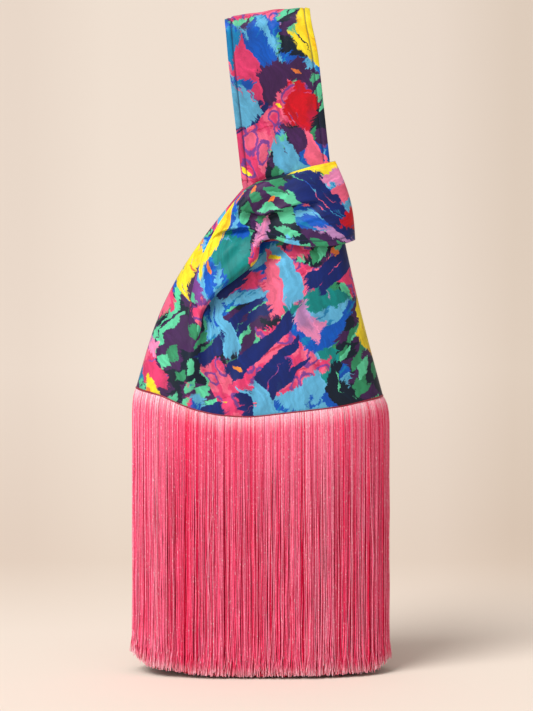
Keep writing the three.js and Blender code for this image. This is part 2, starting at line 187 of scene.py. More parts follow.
def body_point(t, v, inset=0.0, side=FRONT):
    """Points of the body's outer face, or of a layer inset from it, at shares of its width and height."""
    t, v = np.broadcast_arrays(np.asarray(t, float), np.asarray(v, float))
    left, right = side_edges(v)
    width = right[..., 0] - left[..., 0]
    sag = np.interp(t, np.linspace(0, 1, len(HEM_DROP)), HEM_DROP) * np.maximum(0, 1 - v) ** 2
    x = left[..., 0] + inset + (width - 2 * inset) * t
    y = side * (SEAM_HALF_GAP + (half_depth(v) - inset) * fullness(t, v))
    return np.stack([x, y, mix(left[..., 2], right[..., 2], t) - sag], -1)


def share_above(height):
    return height / (side_edges(1.0)[0][2] - side_edges(0.0)[0][2])


def limb_y(drop, offset):
    """Half the gap of the hand loop at a drop below its bend, plus the layers outside it."""
    closing = smooth(np.clip((drop - BEND_START) / (LOOP_FOLD_DROP - BEND_START), 0, 1) ** 1.8)
    return mix(LOOP_HALF_GAP, SEAM_HALF_GAP, closing) + offset


def near_bend(place):
    """1 on the hand loop's bend, falling to 0 at a drop of 50 mm below it."""
    return 1 - smooth(place, BEND_START - 6, 50)


def catmull(points, share):
    """A centripetal curve through the points, at shares of its spans."""
    p = np.array(points, float)
    ends = np.concatenate([[2 * p[0] - p[1]], p, [2 * p[-1] - p[-2]]])
    place = np.clip(share, 0, 1) * (len(p) - 1)
    k = np.minimum(place.astype(int), len(p) - 2)
    w = (place - k)[:, None]
    a, b, c, d = ends[k], ends[k + 1], ends[k + 2], ends[k + 3]
    spans = (b - a, c - b, d - c)
    f, g, h = (np.maximum(np.linalg.norm(span, axis=1), 1e-6)[:, None] ** 0.5 for span in spans)
    t1 = ((b - a) / f - (c - a) / (f + g) + (c - b) / g) * g
    t2 = ((c - b) / g - (d - b) / (g + h) + (d - c) / h) * g
    return b + t1 * w + (3 * (c - b) - 2 * t1 - t2) * w**2 + (2 * (b - c) + t1 + t2) * w**3


def nearest(x, z, line, samples):
    """How far places are from a curve, how far above it (below if negative), and at which share of it."""
    line = catmull(line, np.linspace(0, 1, samples))
    steps = np.diff(line, axis=0)
    lengths = np.linalg.norm(steps, axis=1)
    total, before = lengths.sum(), np.concatenate([[0], np.cumsum(lengths)])
    best, above, share = np.full(x.shape, 1e9), np.zeros(x.shape), np.zeros(x.shape)
    for k, step in enumerate(steps):
        s = np.clip(((x - line[k, 0]) * step[0] + (z - line[k, 1]) * step[1]) / (step @ step), 0, 1)
        dx, dz = x - line[k, 0] - s * step[0], z - line[k, 1] - s * step[1]
        away = np.hypot(dx, dz)
        closer = away < best
        best = np.where(closer, away, best)
        above = np.where(closer, away * np.sign(step[0] * dz - step[1] * dx), above)
        share = np.where(closer, (before[k] + s * lengths[k]) / total, share)
    return best, above, share


def folds(x, z, table):
    """Soft ridges and valleys along lines of points, fading at both ends."""
    total = 0
    for line, width, height, ends in table:
        away, _, share = nearest(x, z, line, 17)
        total = total + height * bell(away, 0, width) * fade(share, ends)
    return total


# Folds of the front panel, as it hangs from the knot, as (line, half width, height, faded share of each
# end): a ridge that runs on from the cowl's tail, the valley beside it, and short creases above the hem
BODY_FOLDS = [
    ([(-62, 336), (-68, 303), (-71, 279), (-66, 258)], 7, 5.2, 0.3),
    ([(-52, 334), (-52, 302), (-46, 276), (-35, 259)], 7, -5.4, 0.3),
    ([(-44, 368), (-50, 354), (-52, 338), (-52, 316)], 4.5, -7.0, 0.3),
    ([(-54, 364), (-59, 346), (-61, 322)], 5, 3.4, 0.3),
    ([(-30, 292), (-32, 272), (-35, 256)], 3.4, -3.4, 0.4),
    ([(-22, 300), (-21, 275), (-23, 256)], 5, 2.4, 0.4),
    ([(-8, 286), (-7, 268), (-8, 252)], 3.2, -2.6, 0.4),
    ([(58, 300), (66, 280), (64, 262)], 9, 1.4, 0.4),
    ([(-96, 330), (-100, 300), (-104, 276)], 7, 1.8, 0.4),
    ([(20, 396), (40, 380), (70, 350)], 8, -1.6, 0.4),
    ([(8, 420), (4, 392), (-6, 356), (-20, 312)], 14, -5.8, 0.5),
    ([(26, 424), (50, 416), (76, 414)], 9, -3.2, 0.35),
    ([(-16, 436), (-4, 422), (8, 410), (22, 396)], 13, -9.0, 0.25),
]


def body_folds(points, side):
    return folds(points[..., 0] * -side, points[..., 2], BODY_FOLDS)


def hem_puckers(share, v):
    """The cloth is a little fuller than the tape that it is sewn to, so it puckers above the hem."""
    waves = np.sin(share * 131 + 3 * np.sin(share * 23)) + 0.6 * np.sin(share * 83 + 1.7)
    return 0.42 * waves * smooth(v, 0, 0.02) * bell(v, 0, 0.085)


# Mesh building

def to_row(points):
    """Millimetres above the fringe's tips as metres in the row frame."""
    return (np.asarray(points, float) - np.array([ORIGIN_X, 0, ORIGIN_Z])) / 1000


def grid_faces(rows, columns, closed_rows=False, closed_columns=False):
    r = np.arange(rows if closed_rows else rows - 1)[:, None]
    c = np.arange(columns if closed_columns else columns - 1)[None]
    here, after = r * columns, (r + 1) % rows * columns
    beside = (c + 1) % columns
    return np.stack([here + c, here + beside, after + beside, after + c], -1).reshape(-1, 4)


def make_mesh(name, points, uvs=(), closed=(False, False), faces=None, values=()):
    """A mesh of a grid of points in millimetres, or of other faces, with UV maps {name: (u, v)} and float
    values {name: one for each point}."""
    if faces is None:
        faces = grid_faces(*points.shape[:2], *closed)
    mesh = bpy.data.meshes.new(name)
    mesh.from_pydata(to_row(points).reshape(-1, 3).tolist(), [], faces.tolist())
    mesh.update()
    corner = np.zeros(len(mesh.loops), np.int32)
    mesh.loops.foreach_get("vertex_index", corner)
    for key, uv in dict(uvs).items():
        layer = mesh.uv_layers.new(name=key)
        flat = np.stack([np.broadcast_to(part, points.shape[:2]) for part in uv], -1).reshape(-1, 2)
        layer.uv.foreach_set("vector", flat.astype(np.float32)[corner].ravel())
    for key, data in dict(values).items():
        attribute = mesh.attributes.new(key, "FLOAT", "POINT")
        attribute.data.foreach_set("value", np.asarray(data, np.float32))
    mesh.polygons.foreach_set("use_smooth", [True] * len(mesh.polygons))
    ob = bpy.data.objects.new(name, mesh)
    bpy.context.scene.collection.objects.link(ob)
    return ob


def lengths_across(points, axis, middle):
    """Signed distance along the grid's rows or columns, counted from the middle index."""
    step = np.linalg.norm(np.diff(points, axis=axis), axis=-1)
    start = np.zeros_like(np.take(step, [0], axis))
    total = np.concatenate([start, np.cumsum(step, axis)], axis)
    return total - np.take(total, [middle], axis)


def panel_rows(share, across, body_v, inset, counts, root_y, offset, dip=0):
    """Rows of points from the front hem over the hand loop to the back hem, the part that each belongs to,
    and its place there: a height on the body, a drop on the strap or an angle on the bend."""
    root, limb, bend = counts
    rows = [(body_point(share, v, inset, FRONT), "body", v) for v in body_v]
    for v in np.linspace(1, 2, root)[1:]:
        points = body_point(share, v, inset, FRONT)
        points[:, 1] = mix(points[:, 1], -root_y, smooth(v, 1, 1.6))
        rows.append((points, "strap", STRAP_ROOT_DROP + (2 - v) * 35))
    for drop in np.linspace(LOOP_FOLD_DROP, BEND_START, limb):
        rows.append((strap_point(drop, across, -limb_y(drop, offset)), "strap", drop))
    for angle in np.linspace(math.pi / 2, 0, bend)[1:]:
        radius = LOOP_HALF_GAP + offset - dip * math.cos(angle) ** 2
        points = strap_point(BEND_START - radius * math.cos(angle), across, -radius * math.sin(angle))
        rows.append((points, "bend", angle))
    front, parts, places = (np.array(column) for column in zip(*rows))
    back = front[-2::-1] * [1, -1, 1]
    halves = (front, back), (parts, parts[-2::-1]), (places, places[-2::-1])
    return (np.concatenate(pair) for pair in halves)


# Print coordinates are in decimetres of cloth, and seam coordinates in centimetres from a sewn edge and
# along it. The shifts give each piece its own part of the print.
PRINT_UNIT, SEAM_UNIT, FAR_FROM_SEAM = 100, 10, 9.0
KNOT_PRINT_SHIFT, BASE_PRINT_SHIFT = (5.1, 2.3), 7

# Ripples below the strap's bend, as (middle, half width, height), and how far down they reach
STRAP_RIPPLES = [(4, 3.6, 1.7), (-3.5, 3.2, -1.2), (11, 3.0, -1.3), (-20, 7, 0.6)]
RIPPLE_REACH = 42

# Edges turned inside: (out over the edge, in from the face) at the sides, (in, up) at the hem, and the
# print's distance past the edge at each turn
SIDE_TURNS, PAST_SIDE = ((0.45, 0.35), (0.45, 1.2), (-0.2, 1.75), (-5.0, 1.8)), np.array([0.6, 1.4, 2.0, 6.5])
HEM_TURNS, PAST_HEM = ((0.5, -0.4), (1.1, 0.0), (1.2, 5.0)), np.array([0.6, 1.2, 6])


def make_outer_cloth():
    """Both panels with their long arms, one sheet from the front hem over the hand loop to the back hem."""
    edge = [0, 0.004, 0.012, 0.024, 0.038, 0.049, 0.056, 0.062, 0.068, 0.076, 0.088, 0.105]
    share = np.array(edge + list(np.linspace(0.122, 0.5, 26)))
    share = np.concatenate([share, (1 - share)[-2::-1]])
    middle = len(share) // 2
    across = (share - 0.5) * STRAP_WIDTH

    body_v = np.concatenate([np.linspace(0, 0.04, 5), np.linspace(0.055, 1, 62)])
    grid, parts, places = panel_rows(share, across, body_v, 0, (12, 34, 14), PINCH_HALF_DEPTH, LINING_INNER)
    top = len(grid) // 2
    sides = np.where(np.arange(len(grid)) > top, BACK, FRONT)
    for j, v in enumerate(body_v):
        front, back = grid[j], grid[-1 - j]
        back[:] = body_point(share, v, 0, BACK)
        back[:, 1] += body_folds(back, BACK) * fullness(share, v)
        front[:, 1] -= (body_folds(front, FRONT) + hem_puckers(share, v)) * fullness(share, v)

    # The strap: pressed edges beside their stitching, ripples under the bend, and a softer top edge
    from_edge = STRAP_HALF_WIDTH - np.abs(across)
    pressed = 0.35 * bell(from_edge, 2.6, 1.8) - bell(from_edge, 5.2, 0.9)
    pressed += 0.6 * (1 - (across / STRAP_HALF_WIDTH) ** 2)
    wrinkled = 0.5 * np.sin(across / 9.5 + 0.8) + 0.3 * np.sin(across / 4.1) - 1.6
    wrinkled -= 3.0 * smooth(-across, 32, STRAP_HALF_WIDTH) + 0.8 * smooth(across, 37, STRAP_HALF_WIDTH)
    leaning = 3.2 * smooth(across, 10, STRAP_HALF_WIDTH) - 0.8 * smooth(-across, 20, STRAP_HALF_WIDTH)
    for row, part, place, side in zip(grid, parts, places, sides):
        if part == "strap":
            a = -side * across
            ripples = sum(height * bell(a, at, width) for at, width, height in STRAP_RIPPLES)
            out = pressed + ripples * smooth(1 - (place - BEND_START) / RIPPLE_REACH)
            out += 0.5 * np.sin(place / 17 + a / 23) * smooth(place, 20, 60)
            row[:, 1] += side * out
        elif part == "bend":
            out = pressed + wrinkled * math.cos(place)
            row += out[:, None] * (STRAP_UP * math.cos(place) + np.array([0, side * math.sin(place), 0]))
        if part != "body":
            row[:, 0] -= leaning * near_bend(place)

    # On the body the edges turn inside as seam allowance; on the strap they turn round to the lining
    along = lengths_across(grid, 0, top)[:, middle]
    cross = lengths_across(grid, 1, middle)
    body, bend = parts == "body", parts == "bend"
    turned = []
    for sign, base in ((-1, grid[:, 0]), (1, grid[:, -1])):
        inward = np.where(bend, -sides * np.sin(places), -np.sign(base[:, 1]))
        for out_x, in_y in SIDE_TURNS:
            point = base.copy()
            point[:, 0] += sign * np.where(body, -abs(out_x) * 1.5, out_x)
            point[:, 1] += np.where(body, 0, inward * in_y)
            point -= np.where(bend, in_y * np.cos(places), 0)[:, None] * STRAP_UP
            turned.append(point)
    count = len(SIDE_TURNS)
    whole = np.concatenate([np.stack(turned[count - 1 :: -1], 1), grid, np.stack(turned[count:], 1)], 1)
    u = np.concatenate([cross[:, :1] - PAST_SIDE[::-1], cross, cross[:, -1:] + PAST_SIDE], 1)
    # The hem turns inside too
    caps = []
    for end in (whole[0], whole[-1]):
        for in_y, up in HEM_TURNS:
            point = end.copy()
            point[:, 0] = HEM_OFFSET_X + (point[:, 0] - HEM_OFFSET_X) * (0.995 - 0.005 * max(up, 0))
            point[:, 1] -= np.sign(point[:, 1]) * np.minimum(in_y, np.abs(point[:, 1]) * 0.5)
            point[:, 2] += up
            caps.append(point)
    count = len(HEM_TURNS)
    whole = np.concatenate([caps[count - 1 :: -1], whole, caps[count:]])
    u = np.pad(u, ((count, count), (0, 0)), "edge")
    w = np.concatenate([along[0] - PAST_HEM[::-1], along, along[-1] + PAST_HEM])[:, None]
    # Where the strap is, the seam map holds the distance from its edge
    on_strap = np.pad(~body, count)[:, None]
    from_edge = np.pad(from_edge / SEAM_UNIT, len(SIDE_TURNS), constant_values=-0.5)
    seam = np.where(on_strap, from_edge, FAR_FROM_SEAM)
    maps = {"print": (u / PRINT_UNIT, w / PRINT_UNIT), "seam": (seam, w / SEAM_UNIT)}
    return make_mesh("bag_outer_cloth", whole, maps)


def make_lining():
    """The lining of both panels and of the hand loop, one sheet inside the outer cloth."""
    share = eased(81)
    middle = len(share) // 2
    across = (share - 0.5) * (STRAP_WIDTH - 1.2)
    leaning = 3.2 * smooth(across, 10, STRAP_HALF_WIDTH)
    dip = 1.6 + 3.0 * smooth(-across, 28, 40) + 1.2 * smooth(across, 30, 40)
    body_v = np.linspace(share_above(BASE_HEIGHT + BASE_CLOTH + 0.4), 1, 64)
    grid, parts, places = panel_rows(
        share, across, body_v, LINING_OUTER, (6, 30, 12), SEAM_HALF_GAP + 0.5, 0.05, dip
    )
    for j, v in enumerate(body_v):
        grid[j, :, 1] -= 1.1 * np.minimum(body_folds(grid[j], FRONT) * fullness(share, v), 0)
        grid[-1 - j, :, 1] = -grid[j, :, 1]
    for row, part, place in zip(grid, parts, places):
        if part != "body":
            row[:, 0] -= leaning * near_bend(place)
    u = lengths_across(grid, 1, middle)
    w = lengths_across(grid, 0, len(grid) // 2)[:, middle : middle + 1]
    return make_mesh("bag_lining", grid, {"print": (u / PRINT_UNIT, w / PRINT_UNIT)})


# Short loop: cowl and band

def knot_stand_table(count):
    """The table of KNOT_STAND as a fine square one, with smooth steps between its rows and columns."""
    fine = np.linspace(0, 1, count)
    by_column = np.array([np.interp(fine, KNOT_ACROSS, row) for row in KNOT_STAND])
    table = np.array([np.interp(fine, KNOT_ALONG, column) for column in by_column.T]).T
    smoothed(table, 26)
    smoothed(table.T, 5)
    return table


STAND_TABLE = knot_stand_table(161)


def stand_off(along, across):
    last = len(STAND_TABLE) - 1
    i, j = along * last, across * last
    i0, j0 = np.minimum(i.astype(int), last - 1), np.minimum(j.astype(int), last - 1)
    low, high = (mix(STAND_TABLE[k, j0], STAND_TABLE[k, j0 + 1], j - j0) for k in (i0, i0 + 1))
    return mix(low, high, i - i0)


def crease(x, z, line, depth, reach, lip, lining):
    """A fold that hangs over the cloth below it: a steep step down on the line's lower side, easing out
    over its reach, and a rounded edge above. The line runs from left to right. The lining only dips."""
    away, above, share = nearest(x, z, line, 33)
    if lining:
        return -1.15 * depth * bell(away, 0, 1.4 * reach) * fade(share, 0.05)
    low = smooth(-above, -lip, lip)
    under = depth * low * bell(np.maximum(-above, 0), 0, reach)
    over = 0.4 * depth * (1 - low) * bell(np.maximum(above, 0), 0, 0.7 * reach)
    return (over - under) * fade(share, 0.22)


# Folds of the short loop as (line, depth, reach, half width of the step): the upper roll over the middle
# one, the middle roll over the lip, and softer ones across the band and down the cowl
KNOT_CREASES = [
    ([(-18, 443), (-10, 440), (0, 437), (12.4, 440.5), (24.7, 445.5), (40, 449.5), (58, 451)], 8.8, 11, 2.2),
    ([(-52, 411), (-44, 418.5), (-36, 422.8), (-27, 425), (-14, 426), (-4, 423.5), (4, 417)], 7.0, 9.0, 1.5),
    ([(-62, 398), (-52, 411), (-40, 431), (-30, 446)], 1.6, 6.0, 0.8),
    ([(30, 428), (48, 434), (66, 437), (80, 436)], 1.4, 7.0, 1.2),
    ([(52, 474), (60, 468), (70, 466), (80, 469)], 1.2, 5.0, 0.8),
]
# Softer ones, written like the body's
KNOT_FOLDS = [
    ([(-50, 418), (-38, 430), (-22, 434), (-6, 431)], 6.5, -4.6, 0.3),
    ([(-58, 380), (-46, 398), (-28, 412), (-10, 418)], 6.0, 1.8, 0.3),
    ([(-66, 345), (-60, 368), (-48, 386), (-34, 398)], 4.0, -2.4, 0.3),
    ([(-62, 372), (-48, 392), (-26, 413), (-12, 424)], 8.0, 3.4, 0.35),
    ([(20, 455), (44, 464), (70, 473)], 8.0, 1.3, 0.35),
    ([(66, 462), (72, 450), (74, 432)], 4.0, -1.0, 0.35),
    ([(-34, 458), (-20, 463), (-4, 466)], 4.5, 1.0, 0.35),
]
LEAST_STAND, LINING_LEAST_STAND, STAND_SOFTNESS = 2.4, 0.5, 0.9
# The short loop's lower edge, turned under: (out over the edge, in from the face)
KNOT_TURNS = ((0.9, 0.9), (1.2, 2.0), (1.0, 3.2), (0.2, 4.2), (-1.6, 4.8), (-5.0, 5.0))
BAND_ROLL, LINING_SLIVER = 0.42, 3.0


def knot_surface(side, along, across, sink=0.0):
    """Points of the short loop's outer face, sunk into it by the given depth."""
    a, c = along.ravel(), across.ravel()
    t, v = mix(catmull(KNOT_UPPER, a), catmull(KNOT_LOWER, a), c[:, None]).T
    points = body_point(t, v, 0, side)
    under = np.abs(body_point(np.minimum(t, 0.8), v, 0, side)[:, 1])
    stand = stand_off(a, c)
    x, z = points[:, 0], points[:, 2]
    carve = sum(crease(x, z, *row, sink > 0) for row in KNOT_CREASES) + folds(x, z, KNOT_FOLDS)
    if side == BACK:
        carve = 0.6 * carve
    hold = smooth(c, 0, 0.1) * mix(1.0, smooth(1 - c, 0, 0.1), smooth(a, 0.62, 0.7))
    hold *= smooth(1 - a, 0.02, 0.2)
    # The cloth never dips into what it lies on
    least = np.minimum(stand, LINING_LEAST_STAND + sink if sink > 0 else LEAST_STAND) - 0.3
    room = (stand + carve * hold - least) / STAND_SOFTNESS
    stand = least + STAND_SOFTNESS * np.log1p(np.exp(np.clip(room, -30, 30)))
    # Small wrinkles that run with the cloth, and a few across the band
    ripples = 0.5 * np.sin(c * 21 + a * 9 + side) * smooth(a, 0.15, 0.4) * smooth(1 - a, 0.1, 0.4)
    ripples += 0.45 * np.sin(a * 46 + c * 5) * smooth(a, 0.45, 0.6) * smooth(1 - a, 0.05, 0.3)
    ripples *= np.sin(math.pi * np.clip(c, 0, 1))
    end = np.clip((a - KNOT_FOLD_START) / (1 - KNOT_FOLD_START), 0, 1)
    points[:, 0] += KNOT_END_BOW * end * np.sin(math.pi * c) - sink * end
    proud = (under + stand + ripples - sink) * np.sqrt(np.maximum(1 - end**3, 0))
    points[:, 1] = side * (SEAM_HALF_GAP + proud)
    return points.reshape(along.shape + (3,))


def knot_grid(side, rows, across, sink=0.0):
    """The short loop's surface on a grid, its places along it, and the way out over its lower edge."""
    a = 1 - (1 - np.linspace(0, 1, rows)) ** 1.25
    grid = knot_surface(side, *np.meshgrid(a, across, indexing="ij"), sink)
    outward = grid[:, -1] - grid[:, -3 if sink else -4]
    outward[:, 1] = 0
    outward /= np.maximum(np.linalg.norm(outward, axis=1), 1e-9)[:, None]
    return grid, a, outward


def make_knot(name, side):
    """One half of the short loop: the cowl, the band across the strap, and its edges turned under."""
    edge = np.array([0, 0.008, 0.02, 0.035, 0.052, 0.07])
    across = np.concatenate([edge, np.linspace(0.09, 0.91, 56), 1 - edge[::-1]])
    grid, a, outward = knot_grid(side, 200, across)
    lip = grid[:, -1]
    # The lower edge rolls under: fully on the cowl, and only round its own thickness on the band
    roll = mix(1.0, BAND_ROLL, smooth(a, 0.5, 0.66)) * smooth(a, 0, 0.12)
    turns = []
    for out, back in KNOT_TURNS:
        point = lip + outward * out * roll[:, None]
        point[:, 1] -= side * back * roll
        point[:, 1] = side * np.maximum(side * point[:, 1], SEAM_HALF_GAP + 0.05)
        turns.append(point)
    whole = np.concatenate([grid, np.stack(turns, 1)], 1)
    u, w = lengths_across(whole, 1, 0), lengths_across(whole, 0, 0)[:, 20:21]
    to_lip = (u[:, grid.shape[1] - 1][:, None] - u) / SEAM_UNIT
    seam = np.where(smooth(a, 0.5, 0.6)[:, None] > 0.5, to_lip, FAR_FROM_SEAM)
    across_shift, along_shift = KNOT_PRINT_SHIFT
    maps = {
        "print": (u / PRINT_UNIT + across_shift, w / PRINT_UNIT + side * along_shift),
        "seam": (seam, w / SEAM_UNIT),
    }
    return make_mesh(name, whole, maps)


def make_knot_lining(name, side):
    """The lining of the short loop, which shows as a sliver under the band's left part."""
    grid, a, outward = knot_grid(side, 72, np.linspace(0.06, 1, 22), LINING_OUTER)
    sliver = LINING_SLIVER * smooth(a, 0.52, 0.6) * smooth(1 - a, 0.26, 0.38)
    grid[:, -1] += outward * sliver[:, None]
    grid[:, -1, 1] -= side * 0.6 * (sliver > 0)
    u, w = lengths_across(grid, 1, 0), lengths_across(grid, 0, 0)
    return make_mesh(name, grid, {"print": (u / PRINT_UNIT, w / PRINT_UNIT)})


# Base, header tape and the piping along the hem

BASE_SAG = 1.5
PIPING_RADIUS, PIPING_END_RADIUS, PIPING_DROP, PIPING_SIDES = 1.05, 1.3, 0.45, 8


def make_base(name, inset, raised, thickness):
    """An oval of cloth with both its faces, hanging a little in the middle."""
    share = eased(41)
    front = body_point(share, share_above(raised), inset, FRONT)[:, None]
    across = np.linspace(0, 1, 15)
    layers = []
    for lift in (0, thickness):
        grid = front.repeat(len(across), 1)
        grid[..., 1] = mix(front[..., 1], -front[..., 1], across)
        grid[..., 2] += lift - BASE_SAG * np.sin(np.pi * across) * np.sin(np.pi * share)[:, None]
        layers.append(grid)
    loop = np.concatenate([layers[0], layers[1][:, ::-1]], 1)
    maps = {"print": (loop[..., 0] / PRINT_UNIT, loop[..., 1] / PRINT_UNIT + BASE_PRINT_SHIFT)}
    return make_mesh(name, loop, maps, (False, True))


def hem_ring(inset, height):
    """Points round the hem, front left to right and back again."""
    share = eased(160)
    front = body_point(share, share_above(height), inset, FRONT)
    back = body_point(share[-2:0:-1], share_above(height), inset, BACK)
    return np.concatenate([front, back])


def make_tape():
    inner, outer = LINING_OUTER, LINING_OUTER + TAPE_CLOTH
    corners = ((inner, 0.2), (outer, 0.2), (outer, TAPE_HEIGHT), (inner, TAPE_HEIGHT))
    grid = np.stack([hem_ring(inset, height) for inset, height in corners], 1)
    maps = {"print": (np.array([0, 0.02, 0.1, 0.12]), np.arange(len(grid))[:, None] / 30)}
    return make_mesh("fringe_header", grid, maps, (True, True))


def make_piping():
    """The lining's turned edge, which shows as a thin roll between the hem and the fringe."""
    centre = hem_ring(0.7, 0)
    centre[:, 2] -= PIPING_DROP
    share = (centre[:, 0] - HEM_OFFSET_X) / HEM_WIDTH + 0.5
    radius = mix(PIPING_END_RADIUS, PIPING_RADIUS, smooth(np.minimum(share, 1 - share), 0, 0.12))
    along = np.roll(centre, -1, 0) - np.roll(centre, 1, 0)
    along /= np.linalg.norm(along, axis=1)[:, None]
    out = np.cross(along, [0, 0, 1])
    out /= np.linalg.norm(out, axis=1)[:, None]
    up = np.cross(out, along)
    angle = np.arange(PIPING_SIDES) / PIPING_SIDES * 2 * math.pi
    round_way = np.cos(angle)[:, None] * out[:, None] + np.sin(angle)[:, None] * up[:, None]
    ring = centre[:, None] + radius[:, None, None] * round_way
    maps = {"print": (angle / 20, lengths_across(centre, 0, 0)[:, None] / PRINT_UNIT)}
    return make_mesh("hem_piping", ring, maps, (True, True))


# Fringe

# The layers of a curtain's threads from the outer face inwards: the threads' pitch, how much of the
# clumps' pull and drift they follow, their lift, and how far inside the hem's face they start
LAYERS = np.array([
    (0.6, 1.0, 1.0, 1.0, 0.7),
    (0.55, 0.95, 0.85, 0.55, 1.2),
    (0.55, 0.6, 0.5, 0.1, 1.8),
    (0.6, 0.2, 0.15, -0.5, 2.6),
    (0.8, 0.0, 0.0, -1.0, 3.5),
])
# Clumps, in strands of a few threads and in locks of many: spacing, pull, spread of drift and of swell
CLUMPS = ((1.5, 0.34, 0.25, 0.4), (4.4, 0.08, 0.3, 0.35), (14.5, 0.055, 0.5, 0.55))
# Places down a thread: how far below the hem, and how far out from its line
THREAD_STOPS = np.array([
    (-3.0, -1.2), (0.5, 0.3), (4, 2.2), (9, 3.9), (16, 5.0), (26, 5.6), (45, 5.7), (75, 5.6), (110, 5.6),
    (145, 5.7), (180, 5.8), (210, 5.9), (232, 6.1), (249.5, 6.5),
])
THREAD_SIDES, FULL_TURN = 3, 6.28
# Radii of the threads in the front layers, how much thicker those behind are, and the radius of strays
THREAD_RADII, BACK_EXTRA_RADIUS, STRAY_RADIUS = (0.36, 0.5), 0.2, 0.24
# Spread of the trimmed lengths, and shares of threads that are cut short or stray from the rest
TRIM_SPREAD, SHORT_SHARE, SHORT_BY, STRAY_SHARE = 3.2, 0.06, (2, 12), 0.03


def curtain_line(name):
    """The hem's line along one curtain, on its outer face."""
    gap = CURTAIN_HALF_GAP / HEM_WIDTH * 0.3
    inner, outer = FRINGE_END_REACH / HEM_WIDTH + gap, FRINGE_END_REACH / HEM_WIDTH - gap
    if name in ("front", "back"):
        return body_point(np.linspace(inner, 1 - inner, 400), 0.0, 0.0, FRONT if name == "front" else BACK)
    s = np.linspace(-1, 1, 801)
    t = s * s * outer
    t = t if name == "left" else 1 - t
    return np.where((s < 0)[:, None], body_point(t, 0.0, 0.0, FRONT), body_point(t, 0.0, 0.0, BACK))


